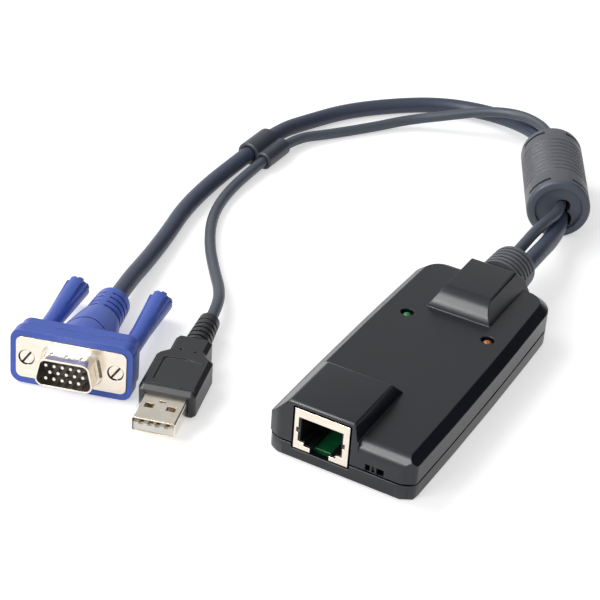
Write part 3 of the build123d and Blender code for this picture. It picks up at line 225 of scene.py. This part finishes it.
finishes = {
    # ABS with a sparked tool finish: near black, soft sheen
    "housing": mouldedPlastic("sparkedAbs", {
        **plasticBasics,
        "dark": "#0e1018", "light": "#141722", "wornAndHighlightEdge": "#3a3d4c", "roughness": 0.30,
        "edgeRadius": 0.00045}),
    # thermoplastic rubber of the gland: duller and greyer than the housing
    "gland_rubber": mouldedPlastic("ribbedElastomer", {
        **plasticBasics,
        "dark": "#575a60", "light": "#62656c", "wornAndHighlightEdge": "#90949c", "roughness": 0.50, "ior": 1.48}),
    # soft PVC of the core's jacket
    "core_plastic": mouldedPlastic("mouldedPvcJacket", {
        **plasticBasics,
        "dark": "#55575f", "light": "#5f6169", "wornAndHighlightEdge": "#9a9ca4", "roughness": 0.42}),
    # hard snap clip in a dark slate colour
    "clip_plastic": mouldedPlastic("snapClipNylon", {
        **plasticBasics,
        "dark": "#3a3d47", "light": "#434651", "wornAndHighlightEdge": "#6a6d78", "roughness": 0.42}),
    # royal blue PVC of the video plug, moulded over the connector
    "blue_plastic": mouldedPlastic("bluePvcHood", {
        **plasticBasics,
        "dark": "#3755b2", "light": "#4362c4", "wornAndHighlightEdge": "#8090d8", "roughness": 0.33}),
    # black PVC of the data plug
    "mould_plastic": mouldedPlastic("blackPvcMould", {
        **plasticBasics,
        "dark": "#1c1d21", "light": "#242529", "wornAndHighlightEdge": "#505157", "roughness": 0.38}),
    # glass-filled polyester of the connector blocks
    "black_insulator": mouldedPlastic("glassFilledPolyester", {
        **plasticBasics,
        "dark": "#141416", "light": "#1b1b1e", "wornAndHighlightEdge": "#303034", "roughness": 0.35}),
    # white nylon tongue and headers
    "white_insulator": mouldedPlastic("whiteNylon", {
        **plasticBasics,
        "dark": "#dedcd6", "light": "#e9e7e2", "wornAndHighlightEdge": "#f4f3ef", "roughness": 0.40, "ior": 1.53}),
    # extruded PVC cable jackets, matt with a faint drag grain
    "video_jacket": mouldedPlastic("slatePvcSheath", {
        **plasticBasics,
        "dark": "#363e52", "light": "#40495d", "wornAndHighlightEdge": "#4c5264", "roughness": 0.42,
        "mottleSize": 0.012}),
    "data_jacket": mouldedPlastic("greyPvcSheath", {
        **plasticBasics,
        "dark": "#454c58", "light": "#4f5763", "wornAndHighlightEdge": "#626a77", "roughness": 0.45,
        "mottleSize": 0.012}),
    # black epoxy of the chips
    "chip": mouldedPlastic("chipEpoxy", {
        **plasticBasics,
        "dark": "#161617", "light": "#1e1e20", "wornAndHighlightEdge": "#2c2c2e", "roughness": 0.5}),
    # sintered ferrite: dark, slightly sparkling ceramic
    "ferrite": mouldedPlastic("sinteredFerrite", {
        **plasticBasics,
        "dark": "#2b2b2e", "light": "#37373b", "wornAndHighlightEdge": "#4a4a4e", "roughness": 0.30, "ior": 1.9}),
    # glass-epoxy board under green solder mask
    "circuit_board": mouldedPlastic("solderMaskGreen", {
        **plasticBasics,
        "dark": "#0d5a33", "light": "#12703f", "wornAndHighlightEdge": "#b9a86a", "roughness": 0.25, "ior": 1.52,
        "mottleSize": 0.002}),
    # end caps of the core, a darker slate than its barrel
    "core_end": mouldedPlastic("slatePvcCap", {
        **plasticBasics,
        "dark": "#4a4f5c", "light": "#535966", "wornAndHighlightEdge": "#6a7180", "roughness": 0.45}),
    # insulator of the video plug: its blue darkened to navy-black as painted shade inside the shell, so that
    # the pins stand out
    "videoBlockPaintedShade": mouldedPlastic("bluePolyesterPaintedShade", {
        **plasticBasics,
        "dark": "#10131f", "light": "#161a2a", "wornAndHighlightEdge": "#2a3048", "roughness": 0.30}),
    # tinted epoxy of the lights
    "green_light": mouldedPlastic("greenEpoxyLens", {
        **plasticBasics,
        "dark": "#1c7a3c", "light": "#27934b", "wornAndHighlightEdge": "#5cc47c", "roughness": 0.12,
        "grainStrength": 0.0}),
    "amber_light": mouldedPlastic("amberEpoxyLens", {
        **plasticBasics,
        "dark": "#b0601c", "light": "#c87526", "wornAndHighlightEdge": "#f0a860", "roughness": 0.12,
        "grainStrength": 0.0}),
    # bright nickel over stamped steel
    "nickel": platedMetal("brightNickel", {
        **metalBasics,
        "dark": "#d9cfc0", "light": "#f0e8dc", "roughness": 0.20, "streak": (1.0, 1.0, 6.0),
        "streakSize": 0.004, "edgeRadius": 0.00012}),
    # blue-white zinc on the cover screws
    "screw_steel": platedMetal("zincPlatedSteel", {
        **metalBasics,
        "dark": "#9a9da0", "light": "#b9bcc0", "roughness": 0.32, "streak": (1.0, 1.0, 1.0),
        "streakSize": 0.002, "edgeRadius": 0.00010}),
    # the same nickel where a slot or a gap keeps the light out, so that it reads nearly black
    "shaded_nickel": platedMetal("shadedNickel", {
        **metalBasics,
        "dark": "#3a3733", "light": "#55514b", "roughness": 0.40, "streak": (1.0, 1.0, 1.0),
        "streakSize": 0.002, "edgeRadius": 0.00010}),
    # flash gold over phosphor bronze
    "gold": platedMetal("flashGold", {
        **metalBasics,
        "dark": "#c9a24a", "light": "#e2c06a", "roughness": 0.20, "streak": (1.0, 1.0, 3.0),
        "streakSize": 0.002, "edgeRadius": 0.00005}),
}

slotOfNode = {part["node"]: part["material_slot"] for part in frame["record"]["subparts"]}
for name, thing in nodes.items():
    finish = finishes[slotOfNode[name]]
    thing.data.materials.clear()
    thing.data.materials.append(finish)
# the video insulator takes its blue darkened with painted shade
nodes["video_insulator"].data.materials[0] = finishes["videoBlockPaintedShade"]
videoLead.data.materials.append(finishes["video_jacket"])
dataLead.data.materials.append(finishes["data_jacket"])
print("finishes applied")


# millimetres and degrees: points closer than weld are one, faces flatter than flat are one
skinSettings = {"weld": 0.002, "weldAfterCuts": 0.02, "flat": 0.4}


def startEditing(piece):
    bpy.ops.object.select_all(action="DESELECT")
    bpy.context.view_layer.objects.active = piece
    piece.select_set(True)
    bpy.ops.object.mode_set(mode="EDIT")
    bpy.ops.mesh.select_all(action="DESELECT")


def selectEdges(piece, wanted):
    # edges that pass a test of their two ends, in millimetres, and of the angle between their faces
    skin = bmesh.from_edit_mesh(piece.data)
    count = 0
    for edge in skin.edges:
        sharp = math.degrees(edge.calc_face_angle(0.0))
        first, second = (corner.co * 1000 for corner in edge.verts)
        edge.select_set(wanted(first, second, sharp))
        count += edge.select
    bmesh.update_edit_mesh(piece.data)
    return count


def mergeSkin(weld):
    # loose triangles merged, flat areas whole again
    bpy.ops.mesh.select_all(action="SELECT")
    bpy.ops.mesh.remove_doubles(threshold=weld / 1000)
    bpy.ops.mesh.dissolve_limited(angle_limit=math.radians(skinSettings["flat"]))


def copyOfNode(nodeName, pieceName):
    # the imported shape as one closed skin
    mesh = nodes[nodeName].data.copy()
    mesh.name = pieceName
    piece = bpy.data.objects.new(pieceName, mesh)
    bpy.context.scene.collection.objects.link(piece)
    startEditing(piece)
    bpy.ops.mesh.customdata_custom_splitnormals_clear()
    mergeSkin(skinSettings["weld"])
    bpy.ops.object.mode_set(mode="OBJECT")
    return piece


def turnedPiece(name, profile, segments):
    # a shape turned about Z: a ring drawn out and resized from step to step, closed at both ends
    bpy.ops.object.select_all(action="DESELECT")
    radius, height = profile[0]
    bpy.ops.mesh.primitive_circle_add(vertices=segments, radius=radius, fill_type="NGON",
                                      location=(0, 0, height))
    piece = bpy.context.active_object
    piece.name = name
    bpy.ops.object.transform_apply()
    bpy.ops.object.mode_set(mode="EDIT")
    bpy.ops.mesh.select_all(action="SELECT")
    for nextRadius, nextHeight in profile[1:]:
        bpy.ops.mesh.extrude_region_move(TRANSFORM_OT_translate={"value": (0, 0, nextHeight - height)})
        factor = nextRadius / radius
        bpy.ops.transform.resize(value=(factor, factor, 1), center_override=(0, 0, nextHeight))
        radius, height = nextRadius, nextHeight
    bpy.ops.mesh.select_all(action="SELECT")
    bpy.ops.mesh.normals_make_consistent(inside=False)
    bpy.ops.object.mode_set(mode="OBJECT")
    return piece


def applyBoolean(piece, tool, operation):
    step = piece.modifiers.new(operation.lower(), "BOOLEAN")
    step.operation = operation
    step.solver = "EXACT"
    step.object = tool
    bpy.ops.object.select_all(action="DESELECT")
    bpy.context.view_layer.objects.active = piece
    bpy.ops.object.modifier_apply(modifier=step.name)
    bpy.data.objects.remove(tool)


def makeBlock(low, high):
    # a block from corner to corner, in millimetres
    bpy.ops.object.select_all(action="DESELECT")
    bpy.ops.mesh.primitive_cube_add(size=1, location=[(a + b) / 2000 for a, b in zip(low, high)])
    block = bpy.context.active_object
    block.scale = [(b - a) / 1000 for a, b in zip(low, high)]
    bpy.ops.object.transform_apply()
    return block


def makeRoundCutter(low, high, axis, radius):
    # what is left of a block outside a bar along X, in millimetres: it cuts a round edge
    bpy.ops.object.select_all(action="DESELECT")
    bpy.ops.mesh.primitive_cylinder_add(
        vertices=120, radius=radius / 1000, depth=0.08, rotation=(0, math.pi / 2, 0),
        location=((low[0] + high[0]) / 2000, axis[0] / 1000, axis[1] / 1000))
    bar = bpy.context.active_object
    bpy.ops.object.transform_apply()
    block = makeBlock(low, high)
    applyBoolean(block, bar, "DIFFERENCE")
    return block


def finishPiece(piece, finishName, slotName, body, *replaced, smoothAngle=35):
    if not piece.data.materials:
        piece.data.materials.append(finishes[finishName])
    bpy.ops.object.select_all(action="DESELECT")
    bpy.context.view_layer.objects.active = piece
    piece.select_set(True)
    bpy.ops.object.shade_smooth_by_angle(angle=math.radians(smoothAngle))
    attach(piece, body)
    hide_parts(*replaced)


# Top cover: the moulding's big front radius beside the jack, the rounded front of the outlet's
# hood, and soft arrises on both hoods.
coverSettings = {
    "frontRadius": 3.8,            # mm, like all that follow
    "front": -47.0,
    "lid": 13.0,
    "fromSide": 5.35,              # the radius starts at the right flank of the jack's hood
    "farSide": 60.0,               # and goes on past the housing
    "outletCentre": 1.3,
    "outletTop": 18.2,
    "outletTopHalf": 7.0,
    "outletSpread": 0.541,         # how much a flank moves out per millimetre down
    "outletFoot": 20.4,
    "outletRound": 7.0,
    "outletFill": (12.6, 26.5),    # the filling's bottom, and how far back it goes
    "arrisWidth": 0.55,
    "cornerWidth": 2.6,
    "cornerFrom": (17.0, -44.5),   # the nose's corners lie outside this across, and before this along
    "seamFoot": 4.955,
    "seamLift": 0.38,              # opens the seam to the width it shows
    "steps": 4,
}
topCover = copyOfNode("top_cover", "topCoverShell")

# the outlet's hood is filled out in front, then rounded off
centre, top, half = (coverSettings[name] for name in ("outletCentre", "outletTop", "outletTopHalf"))
foot, bend, lid = (coverSettings[name] for name in ("outletFoot", "outletRound", "lid"))
bottom, back = coverSettings["outletFill"]
footHalf = half + (top - bottom) * coverSettings["outletSpread"]
filling = makeBlock((centre - footHalf, foot, bottom), (centre + footHalf, back, top))
startEditing(filling)
skin = bmesh.from_edit_mesh(filling.data)
for face in skin.faces:
    face.select_set(face.normal.z > 0.9)
bmesh.update_edit_mesh(filling.data)
bpy.ops.transform.resize(value=(half / footHalf, 1, 1), center_override=(centre / 1000, 0, 0))
bpy.ops.object.mode_set(mode="OBJECT")
applyBoolean(topCover, filling, "UNION")
hoodCutter = makeRoundCutter((centre - 2 * half, foot - 2, lid), (centre + 2 * half, foot + bend, top + 2),
                             (foot + bend, top - bend), bend)
applyBoolean(topCover, hoodCutter, "DIFFERENCE")

# arrises of both hoods, but for the outlet's round
startEditing(topCover)
mergeSkin(skinSettings["weldAfterCuts"])
lowest, foremost = lid + 0.05, coverSettings["front"] + 0.1
count = selectEdges(topCover, lambda a, b, sharp: sharp > 25 and min(a.z, b.z) > lowest
                    and max(a.y, b.y) > foremost
                    and not (max(a.y, b.y) > foot - 2 and min(a.y, b.y) < foot + bend + 0.1))
bpy.ops.mesh.bevel(offset=coverSettings["arrisWidth"] / 1000, segments=coverSettings["steps"],
                   affect="EDGES", clamp_overlap=False)
print("hood arrises", count)


def roundNose(piece):
    # the upright corner edges at both ends of the nose
    across, along = coverSettings["cornerFrom"]
    bpy.ops.mesh.select_all(action="DESELECT")
    count = selectEdges(piece, lambda a, b, sharp: sharp > 15 and max(a.y, b.y) < along
                        and min(abs(a.x), abs(b.x)) > across
                        and (a - b).xy.length < 0.3 and abs(a.z - b.z) > 1.0)
    bpy.ops.mesh.bevel(offset=coverSettings["cornerWidth"] / 1000, affect="EDGES",
                       segments=coverSettings["steps"] + 1, clamp_overlap=True)
    print(piece.name, "nose edges", count)


roundNose(topCover)
skin = bmesh.from_edit_mesh(topCover.data)
for corner in skin.verts:
    if abs(corner.co.z * 1000 - coverSettings["seamFoot"]) < 0.01:
        corner.co.z += coverSettings["seamLift"] / 1000
bmesh.update_edit_mesh(topCover.data)
bpy.ops.object.mode_set(mode="OBJECT")

# the big radius of the front edge, past the jack's hood
front, radius = coverSettings["front"], coverSettings["frontRadius"]
noseCutter = makeRoundCutter((coverSettings["fromSide"], front - 2, lid - radius),
                             (coverSettings["farSide"], front + radius, lid + 2),
                             (front + radius, lid - radius), radius)
applyBoolean(topCover, noseCutter, "DIFFERENCE")
finishPiece(topCover, "housing", "housing", "module", "top_cover", smoothAngle=32)

bottomCover = copyOfNode("bottom_cover", "bottomCoverTray")
startEditing(bottomCover)
roundNose(bottomCover)
bpy.ops.object.mode_set(mode="OBJECT")
finishPiece(bottomCover, "housing", "housing", "module", "bottom_cover", smoothAngle=32)
print("covers softened")

# Core jacket: turned barrel with its grooves, end recesses, slots and the leads' passage.
coreSettings = {
    "front": (-0.00015, 0.09903, 0.01005), "turn": 26.28,
    "radius": 10.05, "length": 37.9,
    "recess": ((7.3, 1.1), (7.4, 0.15), (7.55, 0.0)),                 # radius, depth
    "rim": ((0.95, 0.0), (0.35, 0.3), (0.08, 0.7125), (0.0, 1.235)),  # inset from the radius, depth
    "grooves": 9, "firstGroove": 9.2, "groovePitch": 2.45, "grooveWidth": 1.2, "grooveDepth": 0.7,
    "grooveShape": ((0.0, 0.0), (0.7, 0.2), (1.0, 0.5), (0.7, 0.8), (0.0, 1.0)),  # shares of depth, width
    "slotPlace": 3.2, "slotLength": 8.5, "slotWidth": 1.5, "slotBottom": 8.2, "slotReach": 4.0,
    "capDepth": 1.1,                                                  # the dark caps
    "passage": ((-1.2, -3.9, 3.4), (-1.2, 0.9, 2.45)),                # across, up and radius
}
barrelRadius, barrelLength = coreSettings["radius"], coreSettings["length"]
end = [*coreSettings["recess"], *((barrelRadius - inset, depth) for inset, depth in coreSettings["rim"])]
profile = list(end)
for index in range(coreSettings["grooves"]):
    start = coreSettings["firstGroove"] + index * coreSettings["groovePitch"]
    profile += [(barrelRadius - coreSettings["grooveDepth"] * depth,
                 start + coreSettings["grooveWidth"] * width)
                for depth, width in coreSettings["grooveShape"]]
profile += [(r, barrelLength - z) for r, z in reversed(end)]
coreJacket = turnedPiece("coreJacketBarrel", [(r / 1000, z / 1000) for r, z in profile], 96)
for across, up, hole in coreSettings["passage"]:
    bpy.ops.object.select_all(action="DESELECT")
    bpy.ops.mesh.primitive_cylinder_add(vertices=48, radius=hole / 1000, depth=0.05,
                                        location=(across / 1000, up / 1000, barrelLength / 2000))
    passage = bpy.context.active_object
    bpy.ops.object.transform_apply()
    applyBoolean(coreJacket, passage, "DIFFERENCE")
for height in (coreSettings["slotPlace"], barrelLength - coreSettings["slotPlace"]):
    for angle in map(math.radians, (45, 135, 225, 315)):
        bpy.ops.object.select_all(action="DESELECT")
        bpy.ops.mesh.primitive_cube_add(size=1)
        slotCutter = bpy.context.active_object
        slotCutter.scale = [coreSettings[name] / 1000 for name in ("slotLength", "slotReach", "slotWidth")]
        slotCutter.rotation_euler = (0, 0, angle - math.pi / 2)
        middle = coreSettings["slotBottom"] + coreSettings["slotReach"] / 2
        slotCutter.location = (middle / 1000 * math.cos(angle), middle / 1000 * math.sin(angle),
                               height / 1000)
        bpy.ops.object.transform_apply()
        applyBoolean(coreJacket, slotCutter, "DIFFERENCE")
coreJacket.data.materials.append(finishes["core_plastic"])
coreJacket.data.materials.append(finishes["core_end"])
for face in coreJacket.data.polygons:
    if (face.center.z < coreSettings["capDepth"] / 1000
            or face.center.z > (barrelLength - coreSettings["capDepth"]) / 1000):
        face.material_index = 1
# local Z runs along the leads and local Y is up, as in the part
yaw = math.radians(coreSettings["turn"])
coreJacket.matrix_world = Matrix((
    (-math.cos(yaw), 0, -math.sin(yaw), coreSettings["front"][0]),
    (-math.sin(yaw), 0, math.cos(yaw), coreSettings["front"][1]),
    (0, 1, 0, coreSettings["front"][2]),
    (0, 0, 0, 1)))
bpy.ops.object.select_all(action="DESELECT")
bpy.context.view_layer.objects.active = coreJacket
coreJacket.select_set(True)
bpy.ops.object.transform_apply()
startEditing(coreJacket)
bpy.ops.mesh.select_all(action="SELECT")
bpy.ops.mesh.normals_make_consistent(inside=False)
bpy.ops.object.mode_set(mode="OBJECT")
finishPiece(coreJacket, "core_plastic", "core_plastic", "module", "core_jacket", smoothAngle=40)
print("core jacket turned")

# Thumbscrews: the slotted ends in the plate are bare nickel, the knobs blue.
plugSettings = {
    "face": (-0.07766, -0.05493, 0.00875), "turn": 16.67, "tilt": 4.5,
    "metalDepth": 0.004,     # how far back the nickel goes
    "openDepth": 0.00015,    # only the slotted end's own face is in the light
}
plugFace = Vector(plugSettings["face"])
yaw, pitch = math.radians(plugSettings["turn"]), math.radians(plugSettings["tilt"])
plugOutward = Vector((math.sin(yaw) * math.cos(pitch), -math.cos(yaw) * math.cos(pitch),
                      math.sin(pitch)))
for side in ("left", "right"):
    knob = copyOfNode("thumbscrew_" + side, side + "Thumbscrew")
    knob.data.materials.clear()
    knob.data.materials.append(finishes["blue_plastic"])
    knob.data.materials.append(finishes["nickel"])
    knob.data.materials.append(finishes["shaded_nickel"])
    depths = [(plugFace - face.center).dot(plugOutward) for face in knob.data.polygons]
    for face, depth in zip(knob.data.polygons, depths):
        if depth > plugSettings["metalDepth"]:
            face.material_index = 0
        else:
            face.material_index = 1 if depth < min(depths) + plugSettings["openDepth"] else 2
    finishPiece(knob, "blue_plastic", "blue_plastic", "thumbscrew_" + side, "thumbscrew_" + side)
print("thumbscrews finished")

# Lights: domed lenses with a collar, nearly flush with the lid. Millimetres.
lensSettings = {
    "places": {"link": (-11.65, 14.5), "power": (13.25, 14.5)},
    "finishes": {"link": "green_light", "power": "amber_light"},
    "radius": 1.5, "collar": 1.8, "foot": 6.6, "collarTop": 7.6, "shoulder": 7.65, "tip": 12.75,
    "rings": 7, "lastRing": 86,    # degrees up the dome
}
for label, (across, along) in lensSettings["places"].items():
    lensRadius, tip = lensSettings["radius"], lensSettings["tip"]
    profile = [(lensSettings["collar"], lensSettings["foot"]),
               (lensSettings["collar"], lensSettings["collarTop"]),
               (lensRadius, lensSettings["shoulder"])]
    for ring in range(lensSettings["rings"]):
        rise = math.radians(lensSettings["lastRing"] * ring / (lensSettings["rings"] - 1))
        profile.append((lensRadius * math.cos(rise), tip - lensRadius + lensRadius * math.sin(rise)))
    lens = turnedPiece(label + "Lens", [(r / 1000, z / 1000) for r, z in profile], 40)
    lens.location = (across / 1000, along / 1000, 0)
    bpy.ops.object.transform_apply()
    finishName = lensSettings["finishes"][label]
    finishPiece(lens, finishName, finishName, "module", label + "_light", smoothAngle=50)
print("lenses set")


# Each lead rides with the module, and the part's own lead is hidden.
for lead, node, slotName in ((videoLead, "video_lead", "video_jacket"),
                             (dataLead, "data_lead", "data_jacket")):
    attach(lead, "module")
    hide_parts(node)


# A white table: pure white to the camera, and still keeping the object's soft shadow.
floorSettings = {"size": 6.0, "colour": "#ededed", "roughness": 0.7, "specular": 0.2, "lift": 0.50}
bpy.ops.object.select_all(action="DESELECT")
bpy.ops.mesh.primitive_plane_add(size=floorSettings["size"], location=(0, 0, 0))
table = bpy.context.active_object
table.name = "table"
material, tree, shader, place = startMaterial("whiteLaminate")
shader.inputs["Base Color"].default_value = hexColour(floorSettings["colour"])
shader.inputs["Roughness"].default_value = floorSettings["roughness"]
shader.inputs["Specular IOR Level"].default_value = floorSettings["specular"]
rays = addNode(tree, "ShaderNodeLightPath")
seen = addNode(tree, "ShaderNodeMath", {"operation": "MAXIMUM"},
               links={0: rays.outputs["Is Camera Ray"], 1: rays.outputs["Is Glossy Ray"]})
seen = addNode(tree, "ShaderNodeMath", {"operation": "MAXIMUM"},
               links={0: seen.outputs["Value"], 1: rays.outputs["Is Transmission Ray"]})
lift = addNode(tree, "ShaderNodeMath", {"operation": "MULTIPLY"}, {1: floorSettings["lift"]},
               links={0: seen.outputs["Value"]})
shader.inputs["Emission Color"].default_value = (1, 1, 1, 1)
tree.links.new(lift.outputs["Value"], shader.inputs["Emission Strength"])
table.data.materials.append(material)

# A white room with one dark and one dim side, two softboxes and the edge card.
lightSettings = {
    "ambient": 0.42,     # what matt surfaces get from the room
    "room": 0.85,        # what polished surfaces see of it
    "dark": {"towards": (0.62, 0.74, 0.28), "outer": 0.62, "inner": 0.93, "level": 0.02},
    "dim": {"towards": (-0.30, 0.78, 0.55), "outer": 0.80, "inner": 0.97, "level": 0.78},
}
softboxSettings = {
    "frontSoftbox": {"direction": (-0.39, -0.76, 0.51), "distance": 0.9, "target": (-0.02, 0.0, 0.01),
                     "size": (0.50, 0.16), "power": 2.4},
    "leftSoftbox": {"place": (-0.75, 0.10, 0.80), "target": (-0.03, 0.03, 0.0),
                    "size": (0.7, 0.5), "power": 4.6},
    # tall and narrow: it only shows as the bright band on rounded edges
    "edgeCard": {"direction": (-0.386, -0.58, 0.72), "distance": 0.8, "target": (0.0, 0.0, 0.01),
                 "size": (0.30, 0.85), "power": 7.0},
}
world = bpy.data.worlds.new("whiteStudio")
bpy.context.scene.world = world
world.use_nodes = True
tree = world.node_tree
tree.nodes.clear()
rays = addNode(tree, "ShaderNodeLightPath")
seen = addNode(tree, "ShaderNodeMath", {"operation": "MAXIMUM"},
               links={0: rays.outputs["Is Camera Ray"], 1: rays.outputs["Is Transmission Ray"]})
direction = addNode(tree, "ShaderNodeTexCoord").outputs["Generated"]


def roomPatch(patch):
    # 1 in most of the room, falling to the patch's level around its direction
    nearness = addNode(tree, "ShaderNodeVectorMath", {"operation": "DOT_PRODUCT"},
                       {1: Vector(patch["towards"]).normalized()}, {0: direction})
    return addNode(tree, "ShaderNodeMapRange", {"interpolation_type": "SMOOTHSTEP"},
                   {"From Min": patch["outer"], "From Max": patch["inner"],
                    "To Min": 1.0, "To Max": patch["level"]},
                   {"Value": nearness.outputs["Value"]}).outputs["Result"]


patches = addNode(tree, "ShaderNodeMath", {"operation": "MULTIPLY"},
                  links={0: roomPatch(lightSettings["dark"]), 1: roomPatch(lightSettings["dim"])})
mirrored = addNode(tree, "ShaderNodeMath", {"operation": "MULTIPLY"}, {1: lightSettings["room"]},
                   {0: patches.outputs["Value"]})
shown = addNode(tree, "ShaderNodeMapRange", values={"To Min": lightSettings["ambient"]},
                links={"Value": rays.outputs["Is Glossy Ray"], "To Max": mirrored.outputs["Value"]})
ambient = addNode(tree, "ShaderNodeMapRange", values={"To Max": 1.0},
                  links={"Value": seen.outputs["Value"], "To Min": shown.outputs["Result"]})
background = addNode(tree, "ShaderNodeBackground", values={"Color": (1, 1, 1, 1)},
                     links={"Strength": ambient.outputs["Result"]})
addNode(tree, "ShaderNodeOutputWorld", links={"Surface": background.outputs["Background"]})


for name, settings in softboxSettings.items():
    data = bpy.data.lights.new(name, "AREA")
    data.shape = "RECTANGLE"
    data.size, data.size_y = settings["size"]
    data.energy = settings["power"]
    softbox = bpy.data.objects.new(name, data)
    bpy.context.scene.collection.objects.link(softbox)
    if "place" in settings:
        softbox.location = settings["place"]
    else:
        softbox.location = Vector(settings["direction"]).normalized() * settings["distance"]
    aim = Vector(settings["target"]) - softbox.location
    softbox.rotation_euler = aim.to_track_quat("-Z", "Y").to_euler()
    softbox.visible_diffuse = name != "edgeCard"
bpy.context.scene.view_settings.view_transform = "Standard"
print("table and lights set")
